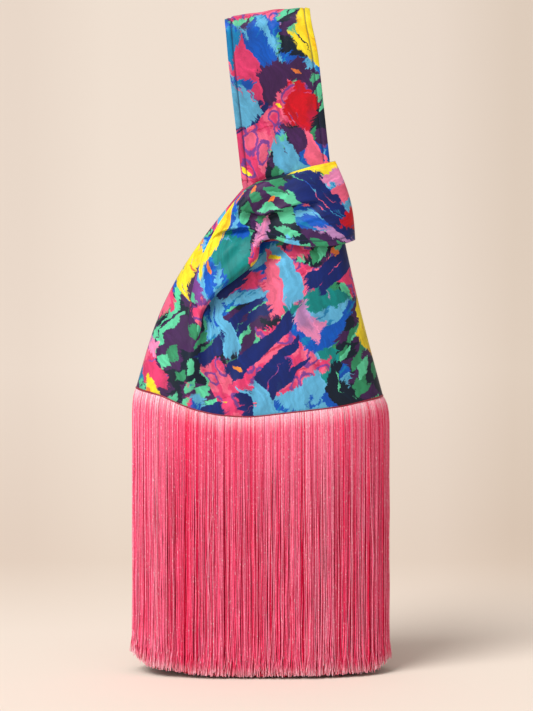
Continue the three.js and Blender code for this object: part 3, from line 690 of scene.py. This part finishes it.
def make_curtain(name, seed):
    """Threads of one curtain. They leave the hem, bend over it, and hang in loose clumps."""
    random = np.random.default_rng(seed)
    line = curtain_line(name)
    reach = lengths_across(line, 0, 0)
    total = reach[-1]
    place, layer = [], []
    for k, pitch in enumerate(LAYERS[:, 0]):
        count = int(total / pitch)
        place.append((np.arange(count) + 0.5 + random.uniform(-0.35, 0.35, count)) * total / count)
        layer.append(np.full(count, k))
    place, layer = np.concatenate(place), np.concatenate(layer)
    n = len(place)

    # The hem's line at each thread, the way out of it, and the way along it
    here, behind, ahead = (
        np.stack([np.interp(place + step, reach, line[:, i]) for i in range(3)]) for step in (0, -2, 2)
    )
    x, y, z = here
    along_x, along_y = (ahead - behind)[:2]
    out = np.stack([along_y, -along_x])
    out /= np.linalg.norm(out, axis=0)
    out *= np.sign(out[0] * (x - HEM_OFFSET_X) + out[1] * y)
    aside = np.stack([-out[1], out[0]])
    line_way = np.sign(aside[0] * along_x + aside[1] * along_y)

    # Neighbouring threads draw together on their way down
    pull, drift, swell, shade = np.zeros((4, n))
    for spacing, hold, spread, rise in CLUMPS:
        count = int(total / spacing) + 3
        at = np.arange(-1, count - 1) * spacing + random.uniform(-0.3, 0.3, count) * spacing
        clump = np.abs(place[:, None] - at).argmin(1)
        pull += hold * (at[clump] - place)
        drift += random.normal(0, spread, count)[clump]
        swell += random.normal(0, rise, count)[clump]
        shade += random.normal(0, 0.03, count)[clump]
    _, pull_share, drift_share, lift, inset = LAYERS[layer].T
    pull *= line_way * pull_share
    drift *= drift_share
    # The tips are trimmed nearly level, less so round the ends
    level_share = (x - HEM_OFFSET_X) / HEM_WIDTH + 0.5
    level = mix(0.45, 1.0, smooth(np.minimum(level_share, 1 - level_share), 0, 0.06))
    level *= mix(0.7, 0.92, level_share)
    length = FRINGE_LENGTH + np.maximum(z - HEM_HEIGHT, 0) * level - 0.8
    length -= np.abs(random.normal(0, TRIM_SPREAD, n))
    length -= np.where(random.uniform(0, 1, n) < SHORT_SHARE, random.uniform(*SHORT_BY, n), 0)
    stray = (random.uniform(0, 1, n) < STRAY_SHARE) & (layer == 0)

    # From here on threads are rows, and places down them are columns
    x, y, z, pull, drift, swell, shade, lift, inset, length, stray, layer = (
        values[:, None] for values in (x, y, z, pull, drift, swell, shade, lift, inset, length, stray, layer)
    )
    drops, bulge = THREAD_STOPS.T
    share = drops / drops[-1]
    down = np.clip(share, 0, None) * length
    right_bias = 1 + 0.22 * np.clip((x - HEM_OFFSET_X) / (HEM_WIDTH / 2), -1, 1) ** 3
    radial = bulge * (0.75 + 0.25 * lift) * right_bias - inset - 0.6 * (1 - lift)
    radial += (swell + random.normal(0, 0.4, (n, 1))) * smooth(share, 0.03, 0.4)
    phase, turns = random.uniform(0, FULL_TURN, (n, 1)), random.uniform(0.8, 4.2, (n, 1))
    waving = smooth(share, 0.1, 0.5)
    lateral = pull * mix(0.35, 1.0, smooth(share, 0.03, 0.6)) * smooth(share, 0.0, 0.08)
    lateral += (drift + random.normal(0, 0.6, (n, 1))) * smooth(share, 0.1, 0.8)
    lateral += 0.5 * np.sin(phase + turns * FULL_TURN * share) * waving
    radial += 0.3 * np.cos(phase * 1.7 + turns * 5.1 * share) * waving
    splay = smooth(share, 0.9, 1.0)
    lateral += splay * random.normal(0, 2.2, (n, 1))
    radial += splay * np.abs(random.normal(0, 1.2, (n, 1)))
    start = random.uniform(0.15, 0.6, (n, 1))
    bow = smooth(share, start, start + 0.45) - 0.5 * smooth(share, start + 0.35, start + 0.6)
    lateral += np.where(stray, random.normal(0, 8.0, (n, 1)), 0) * bow
    radial += np.where(stray, 1.0, 0) * smooth(share, 0.15, 0.4)

    out, aside = out[..., None], aside[..., None]
    centre = [at + way * radial + side_way * lateral for at, way, side_way in zip((x, y), out, aside)]
    centre = np.stack([*centre, z - down + np.where(drops < 0, 3.0, 0)], -1)
    radius = random.uniform(*THREAD_RADII, (n, 1)) + BACK_EXTRA_RADIUS * (layer > 2)
    radius = np.where(stray, STRAY_RADIUS, radius) * np.where(share > 0.97, 0.75, 1.0)
    turn = random.uniform(0, FULL_TURN, (n, 1, 1)) + np.arange(THREAD_SIDES) / THREAD_SIDES * 2 * math.pi
    ring = np.stack([np.cos(turn), np.sin(turn), np.zeros_like(turn)], -1)
    points = centre[:, :, None] + ring * radius[..., None, None]
    size = len(drops) * THREAD_SIDES
    block = grid_faces(len(drops), THREAD_SIDES, False, True)
    faces = (block + (np.arange(n) * size)[:, None, None]).reshape(-1, 4)
    # Painted shade: threads of the inner layers, and those sunk among the clumps, get a lower value and so a
    # deeper, darker colour; the rest of the spread is each thread's own tone
    tint_and_depth_shade = np.clip(random.normal(0.62, 0.14, (n, 1)) + shade + 0.06 * swell - 0.34 * (1 - lift), 0, 1)
    values = {
        "tint_and_depth_shade": np.repeat(np.where(stray, 0.97, tint_and_depth_shade), size),
        "down": np.tile(np.repeat(share.clip(0, 1), THREAD_SIDES), n),
    }
    return make_mesh(f"fringe_{name}_threads", points, faces=faces, values=values)


# Materials

def srgb(r, g, b):
    """A display colour as linear numbers."""
    c = np.array([r, g, b], float) / 255
    return tuple(np.where(c <= 0.04045, c / 12.92, ((c + 0.055) / 1.055) ** 2.4)) + (1.0,)


class Value:
    """A node's output, which can stand in sums and products."""

    def __init__(self, nodes, socket):
        self.nodes, self.socket = nodes, socket

    def __add__(self, other):
        return self.nodes.math("ADD", self, other)

    def __sub__(self, other):
        return self.nodes.math("SUBTRACT", self, other)

    def __rsub__(self, other):
        return self.nodes.math("SUBTRACT", other, self)

    def __mul__(self, other):
        return self.nodes.math("MULTIPLY", self, other)

    def __truediv__(self, other):
        return self.nodes.math("DIVIDE", self, other)

    __radd__, __rmul__ = __add__, __mul__


class Nodes:
    """Short calls for building a node tree."""

    def __init__(self, tree):
        self.tree = tree

    def node(self, kind, inputs=(), **settings):
        node = self.tree.nodes.new("ShaderNode" + kind)
        for key, value in settings.items():
            setattr(node, key, value)
        self.feed(node, inputs)
        return node

    def feed(self, node, inputs):
        for key, value in dict(inputs).items():
            if isinstance(value, Value):
                self.tree.links.new(value.socket, node.inputs[key])
            else:
                node.inputs[key].default_value = value

    def outs(self, node, *keys):
        return [Value(self, node.outputs[key]) for key in keys]

    def get(self, kind, inputs=(), out=0, **settings):
        return Value(self, self.node(kind, inputs, **settings).outputs[out])

    def math(self, operation, *values):
        return self.get("Math", enumerate(values), operation=operation)

    def vector(self, operation, a, b):
        return self.get("VectorMath", {0: a, "Scale" if operation == "SCALE" else 1: b}, operation=operation)

    def parts(self, vector):
        return self.outs(self.node("SeparateXYZ", {0: vector}), 0, 1)

    def noise(self, vector, scale, detail=3.0, rough=0.55, out="Fac"):
        inputs = {"Vector": vector, "Scale": scale, "Detail": detail, "Roughness": rough}
        return self.get("TexNoise", inputs, out)

    def cells(self, vector, scale, randomness=0.9, metric="EUCLIDEAN"):
        """Distance from the middle of each cell, and three random numbers of its own."""
        node = self.node("TexVoronoi", {"Vector": vector, "Scale": scale, "Randomness": randomness},
                         voronoi_dimensions="2D", feature="F1", distance=metric)
        distance, colour = self.outs(node, "Distance", "Color")
        return distance, self.outs(self.node("SeparateColor", {"Color": colour}), 0, 1, 2)

    def step(self, value, edge, soft):
        """0 below the edge and 1 above it, over the soft width to either side."""
        inputs = {"Value": value, "From Min": edge - soft, "From Max": edge + soft}
        return self.get("MapRange", inputs, "Result", clamp=True, interpolation_type="SMOOTHSTEP")

    def ramp(self, value, stops, kind="LINEAR"):
        node = self.node("ValToRGB", {"Fac": value})
        ramp = node.color_ramp
        ramp.interpolation = kind
        while len(ramp.elements) < len(stops):
            ramp.elements.new(0.5)
        for element, (at, colour) in zip(ramp.elements, stops):
            element.position, element.color = at, colour
        return self.outs(node, "Color")[0]

    def blend(self, share, a, b, kind="MIX"):
        """The colour a where the share is 0, and b where it is 1."""
        inputs = {0: share, 6: a, 7: b}
        return self.get("Mix", inputs, 2, data_type="RGBA", blend_type=kind, clamp_factor=True)

    def turned(self, vector, turn, scale=(1, 1), shift=(0, 0)):
        """Coordinates turned first and stretched after."""
        inputs = {"Vector": vector, "Location": (-shift[0], -shift[1], 0), "Rotation": (0, 0, turn),
                  "Scale": (1 / scale[0], 1 / scale[1], 1)}
        return self.get("Mapping", inputs, vector_type="TEXTURE")

    def brushed(self, vector, turn, reach, across=36, along=4.5, shift=(0, 0)):
        """Coordinates dragged along the brush, hair by hair, so that edges across it end ragged."""
        hairs = self.noise(self.turned(vector, turn, (across, along), shift), 1.0, 3, 0.7)
        way = self.vector("SCALE", (-math.sin(turn), math.cos(turn), 0), (hairs - 0.5) * (2 * reach))
        return self.vector("ADD", vector, way)

    def spots(self, vector, scale, stretch, turn, edge, keep, shift=(0, 0), metric="EUCLIDEAN"):
        """Scattered spots: a mask of those kept, and each spot's own random number."""
        distance, numbers = self.cells(self.turned(vector, turn, stretch, shift), scale, metric=metric)
        return (1 - self.step(distance, edge, 0.012)) * self.step(numbers[1], keep, 0.01), numbers[0]

    def area(self, vector, scale, edge, shift):
        return self.step(self.noise(self.turned(vector, 0.3, (1, 1), shift), scale, 1.5, 0.5), edge, 0.004)

    def bump(self, strength, distance, height):
        return self.get("Bump", {"Strength": strength, "Distance": distance, "Height": height})


def new_material(name):
    material = bpy.data.materials.new(name)
    material.use_nodes = True
    tree = material.node_tree
    return material, Nodes(tree), next(n for n in tree.nodes if n.type == "BSDF_PRINCIPLED")


DYE_DEPTH = 0.86


def dye(r, g, b):
    """A display colour as the printed cloth's own, a little deeper than it looks in the studio's light."""
    red, green, blue, alpha = srgb(r, g, b)
    return red * DYE_DEPTH, green * DYE_DEPTH, blue * DYE_DEPTH, alpha


ROYAL, SKY, CERULEAN, NAVY = dye(0, 88, 196), dye(96, 184, 228), dye(0, 132, 192), dye(8, 34, 110)
INK, TEAL, MINT, GREEN = dye(4, 26, 46), dye(0, 138, 136), dye(92, 208, 160), dye(48, 146, 100)
PURPLE, VIOLET, MAUVE = dye(66, 30, 84), dye(128, 66, 152), dye(186, 134, 190)
HOT_PINK, CORAL, CRIMSON, RED = dye(228, 60, 114), dye(246, 104, 140), dye(190, 16, 66), dye(216, 0, 28)
YELLOW, GOLD, ORANGE, LIGHT_PINK = dye(255, 232, 40), dye(255, 198, 16), dye(244, 130, 60), dye(242, 142, 192)

PRINT_SCALE = 0.8
STEEP, LEVEL, SLANT = 0.35, 1.75, -0.75


def print_colours(n, uv):
    """A generic painterly print: broad blocks of paint with ragged brush ends, and over them strokes, dabs,
    rings and splashes."""
    uv = n.vector("SCALE", uv, PRINT_SCALE)
    torn = uv
    for scale, detail, rough, reach in ((2.4, 2, 0.5, 0.3), (17, 4, 0.7, 0.075)):
        shake = n.vector("SUBTRACT", n.noise(uv, scale, detail, rough, "Color"), (0.5, 0.5, 0.5))
        torn = n.vector("ADD", torn, n.vector("SCALE", shake, reach))
    steep, level = n.brushed(torn, STEEP, 0.11), n.brushed(torn, LEVEL, 0.1, shift=(4, 1))
    slant = n.brushed(torn, SLANT, 0.1, shift=(1, 7))
    steep_hairs, level_hairs, slant_hairs = (
        n.noise(n.turned(torn, turn, (24, 1.6), (shift, shift)), 1.0, 3, 0.65)
        for turn, shift in ((STEEP, 0.0), (LEVEL, 5.0), (SLANT, 9.0))
    )

    _, pick = n.cells(n.turned(steep, 0.25, (1.25, 0.85), (0.21, 0.4)), 1.75, metric="CHEBYCHEV")
    base = n.ramp(pick[0], [
        (0.0, ROYAL), (0.13, VIOLET), (0.27, CERULEAN), (0.42, HOT_PINK), (0.49, TEAL), (0.56, PURPLE),
        (0.65, INK), (0.7, SKY), (0.78, ROYAL), (0.86, MAUVE), (0.92, NAVY),
    ], "CONSTANT")
    second = n.ramp(pick[1], [
        (0.0, SKY), (0.18, VIOLET), (0.34, ROYAL), (0.5, MAUVE), (0.64, CERULEAN), (0.8, NAVY), (0.92, MINT),
    ], "CONSTANT")
    choice = n.step(pick[2], 0.5, 0.02)
    dragged = choice * steep_hairs + (1 - choice) * level_hairs
    colour = n.blend(n.step(dragged, 0.64, 0.012), base, second)

    # Pale arched strokes on royal blue
    inputs = {"Vector": n.turned(slant, 0.4, (1.4, 0.8), (0.7, 0.2)), "Scale": 1.15, "Distortion": 2.2,
              "Detail": 1.0, "Detail Scale": 1.4}
    arches = n.get("TexWave", inputs, "Fac", wave_type="RINGS", rings_direction="Z")
    water = n.blend(n.step(arches, 0.72, 0.03), ROYAL, SKY)
    water = n.blend(n.step(slant_hairs, 0.58, 0.02) * 0.85, water, CERULEAN)
    colour = n.blend(n.area(slant, 1.45, 0.5, (1.9, 9.3)), colour, water)

    # Dark paint with mint dabs
    dark = n.blend(n.area(level, 3.0, 0.5, (5.1, 2.2)), PURPLE, INK)
    dabs = n.brushed(torn, -0.5, 0.05, 50, 9)
    dab, which = n.spots(dabs, 7.0, (1.5, 0.7), -0.5, 0.5, 0.2, metric="MANHATTAN")
    dark = n.blend(dab, dark, n.blend(n.step(which, 0.72, 0.02), MINT, GREEN))
    colour = n.blend(n.area(level, 1.35, 0.5, (3.7, 1.2)), colour, dark)

    # Rings of violet line on coral ground
    distance, _ = n.cells(n.turned(torn, 0.2, (1, 0.8)), 7.0, 0.8)
    ring_line = 1 - n.step(n.math("ABSOLUTE", distance - 0.31), 0.065, 0.02)
    ground = n.blend(n.step(n.noise(torn, 5, 2), 0.5, 0.03), HOT_PINK, CORAL)
    ground = n.blend(n.step(level_hairs, 0.6, 0.02) * 0.7, ground, CRIMSON)
    colour = n.blend(n.area(steep, 1.5, 0.565, (8.1, 4.4)), colour, n.blend(ring_line, ground, VIOLET))

    # Long strokes of one brush width
    for turn, shift, keep, paint, vector, hairs in (
        (0.15, (2.2, 7.7), 0.82, CORAL, steep, steep_hairs),
        (-0.9, (6.1, 0.4), 0.78, NAVY, slant, slant_hairs),
        (0.5, (9.4, 3.3), 0.78, SKY, steep, steep_hairs),
    ):
        stroke, _ = n.spots(vector, 2.1, (2.6, 0.55), turn, 0.36, keep, shift, "CHEBYCHEV")
        colour = n.blend(stroke * (1 - n.step(hairs, 0.64, 0.02)), colour, paint)

    # Splashes of yellow, gold where the paint is thick, and fewer and smaller ones of red and pink
    for shift, scale, edge, keep, thin_paint, thick_paint, vector in (
        ((1.2, 8.8), 1.2, 0.22, 0.66, RED, CRIMSON, level),
        ((8.4, 6.1), 1.1, 0.33, 0.52, YELLOW, GOLD, steep),
        ((6.6, 2.3), 1.5, 0.2, 0.72, LIGHT_PINK, MAUVE, slant),
    ):
        splash, _ = n.spots(vector, scale, (1.45, 0.75), 0.25, edge, keep, shift, "MANHATTAN")
        thick = n.step(n.noise(n.turned(torn, STEEP, (5, 1.6), shift), 1.6, 4, 0.6), 0.56, 0.07)
        paint = n.blend(thick, thin_paint, thick_paint)
        colour = n.blend(splash * (1 - n.step(steep_hairs, 0.63, 0.015)), colour, paint)
    flecks, which = n.spots(torn, 4.2, (1.3, 0.6), 0.9, 0.1, 0.8)
    colour = n.blend(flecks, colour, n.blend(n.step(which, 0.5, 0.02), ORANGE, YELLOW))

    # Thick and thin paint within each stroke
    thin = n.noise(n.turned(torn, STEEP, (30, 3)), 1.0, 3, 0.6)
    patch = n.noise(n.turned(torn, -0.6, (7, 2.5), (2, 5)), 1.0, 3, 0.6)
    dry = n.noise(n.turned(torn, STEEP, (26, 2.2), (6, 3)), 1.0, 3, 0.65)
    return n.vector("SCALE", colour, thin * 0.95 + patch * 0.95 + n.step(dry, 0.6, 0.09) * 0.3)


# In seam units: how far the stitches are from the edge, half their pitch, and half the width of the
# thread and of its groove
STITCH_FROM_EDGE, STITCH_HALF_PITCH, STITCH_HALF_WIDTH, GROOVE_HALF_WIDTH = 0.52, 0.14, 0.035, 0.07


def weave_height(n, uv):
    """Fine satin weave: long floats across the cloth over a tighter warp."""
    floats = n.noise(n.vector("MULTIPLY", uv, (60, 420, 1)), 1.0, 2, 0.6)
    warp = n.noise(n.vector("ADD", n.vector("MULTIPLY", uv, (420, 50, 1)), (3, 1, 0)), 1.0, 1, 0.5)
    return floats * 0.6 + warp * 0.4


def make_print_material():
    material, n, shader = new_material("printed_satin")
    uv = n.get("UVMap", uv_map="print")
    from_edge, along_edge = n.parts(n.get("UVMap", uv_map="seam"))
    weave = weave_height(n, uv)
    colour = n.blend(n.step(weave, 0.42, 0.12) * 0.10, print_colours(n, uv), (0.02, 0.02, 0.04, 1))
    # A row of stitches beside each sewn edge, sunk in the groove that it presses into the cloth; the groove
    # gets painted shade, a near-black line in the colour
    from_line = n.math("ABSOLUTE", from_edge - STITCH_FROM_EDGE)
    painted_groove_shade = 1 - n.step(from_line, GROOVE_HALF_WIDTH, 0.05)
    dash = n.step(n.math("PINGPONG", along_edge, STITCH_HALF_PITCH), 0.02, 0.01)
    stitch = (1 - n.step(from_line, STITCH_HALF_WIDTH, 0.012)) * dash
    # Painted shade along the groove
    colour = n.blend(painted_groove_shade * 0.5, colour, (0.003, 0.004, 0.015, 1))
    colour = n.blend(stitch * 0.35, colour, srgb(60, 40, 110))
    height = weave * 0.10 + stitch * 0.35 + n.noise(uv, 16, 3, 0.6) * 0.5
    n.feed(shader, {
        "Base Color": colour, "Roughness": 0.44 + n.noise(uv, 12, 3) * 0.16,
        "Normal": n.bump(0.5, 0.0006, height),
        "Sheen Weight": 0.04, "Sheen Roughness": 0.35, "Specular IOR Level": 0.24,
    })
    return material


def make_lining_material(name, dark, light):
    material, n, shader = new_material(name)
    uv = n.get("UVMap", uv_map="print")
    weave, shade = weave_height(n, uv), n.noise(uv, 8, 3)
    n.feed(shader, {
        "Base Color": n.blend(weave * 0.5 + shade * 0.5, dark, light), "Roughness": 0.36 + shade * 0.14,
        "Normal": n.bump(0.4, 0.0003, weave), "Sheen Weight": 0.05,
    })
    return material


def make_thread_material():
    material, n, shader = new_material("viscose_thread")
    tint_and_depth_shade, down = (n.get("Attribute", (), "Fac", attribute_name=name) for name in ("tint_and_depth_shade", "down"))
    # Low values give the deeper, darker crimson, which on inner and sunken threads is painted shade
    colour = n.ramp(tint_and_depth_shade, [
        (0.0, srgb(236, 0, 58)), (0.3, srgb(248, 30, 90)), (0.62, srgb(252, 108, 148)),
        (1.0, srgb(254, 168, 192)),
    ])
    # Each thread has its own value, its own tone plus painted shade on the inner and sunken threads, so it
    # also sets where its pattern starts
    start = tint_and_depth_shade * 900.0

    def pattern(inputs, scale, detail, rough):
        return n.noise(n.get("CombineXYZ", inputs), scale, detail, rough)

    # Painted glints: small near-white marks in the colour where its twist would catch the light
    glint = n.step(pattern({0: start, 1: down * 75.0}, 1.0, 1, 0.5), 0.68, 0.05)
    mottle = pattern({0: start, 1: down * 95.0}, 1.0, 3, 0.7)
    # Painted sheen: a pale, streaky band at the top of each thread, where it bends over the hem and would
    # catch the light; its length varies from thread to thread
    bend = pattern({1: start}, 0.4, 2, 0.6)
    painted_top_sheen = 1 - n.step(down + bend * 0.2, 0.13, 0.042)
    painted_sheen_streaks = 0.02 + (tint_and_depth_shade * 0.45 + n.step(mottle, 0.5, 0.08) * 0.75)
    # The first of these blends is the painted sheen at the top
    for share, paint in (
        (painted_top_sheen * painted_sheen_streaks, srgb(255, 238, 245)),
        (n.step(down, 0.982, 0.02) * (tint_and_depth_shade * 1.2), srgb(255, 204, 216)),
        (n.step(mottle, 0.56, 0.12) * 0.46, srgb(214, 12, 72)),
        (glint * (tint_and_depth_shade * 0.85), srgb(255, 220, 230)),
    ):
        colour = n.blend(share, colour, paint)
    n.feed(shader, {"Base Color": colour, "Roughness": 0.3 + tint_and_depth_shade * 0.1, "Specular IOR Level": 0.12})
    return material


def make_floor_material():
    """A flat floor painted as a paper sweep: pale in front, painted shade in a band where a sweep would start
    to rise, lighter again beyond, and painted shade towards both sides.
    """
    material, n, shader = new_material("studio_floor")
    # Colours of the painted sweep: the floor in front, painted shade where a sweep would start to rise, and
    # the wall beyond
    front, bend, wall = srgb(230, 218, 206), srgb(220, 205, 191), srgb(236, 224, 212)
    # The picture's width and the way to the camera at the bag, and how far in front of it the sweep starts
    width, distance, camera_y, start = 0.52, 5.0, 4.96, 0.3
    x, y = n.parts(n.get("TexCoord", (), "Object"))
    away = n.math("MAXIMUM", y + camera_y, 0.5)
    painted_sweep_shade = n.ramp((y + start) / away, [(0.1, front), (0.17, bend), (0.36, wall)])
    # Painted shade: darker towards both sides, most on the right
    sides = n.ramp((x * distance / away + width / 2) / width, [
        (0.058, (0.937, 0.92, 0.915, 1)), (0.204, (1, 1, 1, 1)), (0.6, (1, 1, 1, 1)),
        (0.81, (0.94, 0.93, 0.93, 1)), (0.954, (0.84, 0.81, 0.78, 1)),
    ])
    colour = n.blend(n.step(y, 0.5, 0.4), painted_sweep_shade, sides, "MULTIPLY")
    n.feed(shader, {"Base Color": colour, "Roughness": 0.85, "Specular IOR Level": 0.15})
    return material


# The object

printed = make_print_material()
crimson_lining = make_lining_material("crimson_lining", srgb(98, 5, 28), srgb(162, 16, 50))
tape_cloth = make_lining_material("header_tape_weave", srgb(190, 50, 104), srgb(226, 96, 142))
thread = make_thread_material()

# Where the cloth passes from one body to the next: drops along the strap, points beside the cowl, and the
# fringe's first part below the hem
STRAP_BLEND, KNOT_BLEND, FRINGE_BLEND = (104, 136), ((-62, 0, 345), (-10, 0, 455)), 24
FIRST_SEED = 11


def dress(ob, material, slot, *nodes):
    ob.data.materials.clear()
    ob.data.materials.append(material)
    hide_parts(*nodes)
    return ob


def blend_over(ob, a, b, start, end):
    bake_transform(ob)


outer = dress(make_outer_cloth(), printed, "printed_cloth",
              "front_panel", "back_panel", "hand_loop_front", "hand_loop_back")
lining = dress(make_lining(), crimson_lining, "lining_cloth",
               "front_lining", "back_lining", "hand_loop_front_lining", "hand_loop_back_lining")
for sheet in (outer, lining):
    blend_over(sheet, "hand_loop", "bag_body", *(strap_point(drop, 0, 0) for drop in STRAP_BLEND))

for name, side in (("front", FRONT), ("back", BACK)):
    wrap = dress(make_knot(f"short_loop_{name}_cloth", side), printed, "printed_cloth", f"short_loop_{name}")
    inside = dress(make_knot_lining(f"short_loop_{name}_inside", side), crimson_lining, "lining_cloth",
                   f"short_loop_{name}_lining")
    for piece in (wrap, inside):
        blend_over(piece, "bag_body", "short_loop", *KNOT_BLEND)

base = dress(make_base("base_oval", LINING_OUTER, BASE_HEIGHT, BASE_CLOTH),
             printed, "printed_cloth", "base_panel")
base_inside = dress(make_base("base_oval_lining", LINING_INNER + 0.3, BASE_HEIGHT + BASE_CLOTH + 0.3, 0.6),
                    crimson_lining, "lining_cloth", "base_lining")
tape = dress(make_tape(), tape_cloth, "header_tape", "fringe_header_tape")
piping = dress(make_piping(), crimson_lining, "lining_cloth")
for piece in (base, base_inside, tape, piping):
    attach(piece, "bag_body")

hem_heights = (HEM_HEIGHT, HEM_HEIGHT, HEM_CORNERS + HEM_TILT / 2, HEM_CORNERS - HEM_TILT / 2)
for number, (name, top) in enumerate(zip(("front", "back", "left", "right"), hem_heights)):
    threads = dress(make_curtain(name, FIRST_SEED + number), thread, "fringe_thread", f"fringe_{name}")
    blend_over(threads, "bag_body", f"fringe_{name}", (0, 0, top), (0, 0, top - FRINGE_BLEND))

# Stage, light and camera

FLOOR_RADIUS, FLOOR_CORNERS, FLOOR_GAP = 40, 64, 0.0004
angles = np.linspace(0, 2 * math.pi, FLOOR_CORNERS, endpoint=False)
corners = [(FLOOR_RADIUS * math.cos(a), FLOOR_RADIUS * math.sin(a), 0) for a in angles]
floor_mesh = bpy.data.meshes.new("studio_floor")
floor_mesh.from_pydata(corners, [], [list(range(FLOOR_CORNERS))])
floor = bpy.data.objects.new("studio_floor", floor_mesh)
floor.location = (0, 0, min(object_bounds()[0].z, cad_low.z) - FLOOR_GAP)
bpy.context.scene.collection.objects.link(floor)
floor.data.materials.append(make_floor_material())

world = bpy.data.worlds.new("studio")
bpy.context.scene.world = world
world.use_nodes = True
background = next(n for n in world.node_tree.nodes if n.type == "BACKGROUND")
background.inputs["Color"].default_value = (1.0, 0.93, 0.87, 1)
background.inputs["Strength"].default_value = 0.5
bpy.context.scene.view_settings.view_transform = "Standard"

# The picture's middle in the row frame, how far the camera looks down on it and how far away it is, and
# the picture's height in pixels of so many metres
TARGET, ELEVATION, DISTANCE = Vector((-0.00165, 0, -0.3261)), math.radians(7.0), 5.0
PICTURE_HEIGHT, PIXEL, SENSOR = 711, 0.00095, 36


def aim(ob, place, back):
    """Put a light or the camera in its place, turned so that its back faces the given way."""
    bpy.context.scene.collection.objects.link(ob)
    ob.location = place
    ob.rotation_mode = "QUATERNION"
    ob.rotation_quaternion = back.to_track_quat("Z", "Y")


def add_light(name, kind, place, energy, colour=(1, 1, 1), **settings):
    data = bpy.data.lights.new(name, kind)
    data.energy, data.color = energy, colour
    for key, value in settings.items():
        setattr(data, key, value)
    aim(bpy.data.objects.new(name, data), place, Vector(place) - TARGET)


add_light("key", "SUN", (-1.5, -1.7, 2.3), 2.3, (1, 0.99, 0.98), angle=math.radians(30))
add_light("top_softbox", "AREA", (-0.4, -0.6, 1.4), 6, shape="RECTANGLE", size=1.0, size_y=0.7)
add_light("left_softbox", "AREA", (-1.5, -1.7, -0.2), 11, shape="RECTANGLE", size=0.9, size_y=1.4)

camera_data = bpy.data.cameras.new("camera")
camera = bpy.data.objects.new("camera", camera_data)
back = Vector((0, -math.cos(ELEVATION), math.sin(ELEVATION)))
aim(camera, TARGET + back * DISTANCE, back)
camera_data.sensor_width = SENSOR
camera_data.lens = SENSOR * DISTANCE / (PICTURE_HEIGHT * PIXEL)
camera_data.clip_start, camera_data.clip_end = 0.1, 200
bpy.context.scene.camera = camera
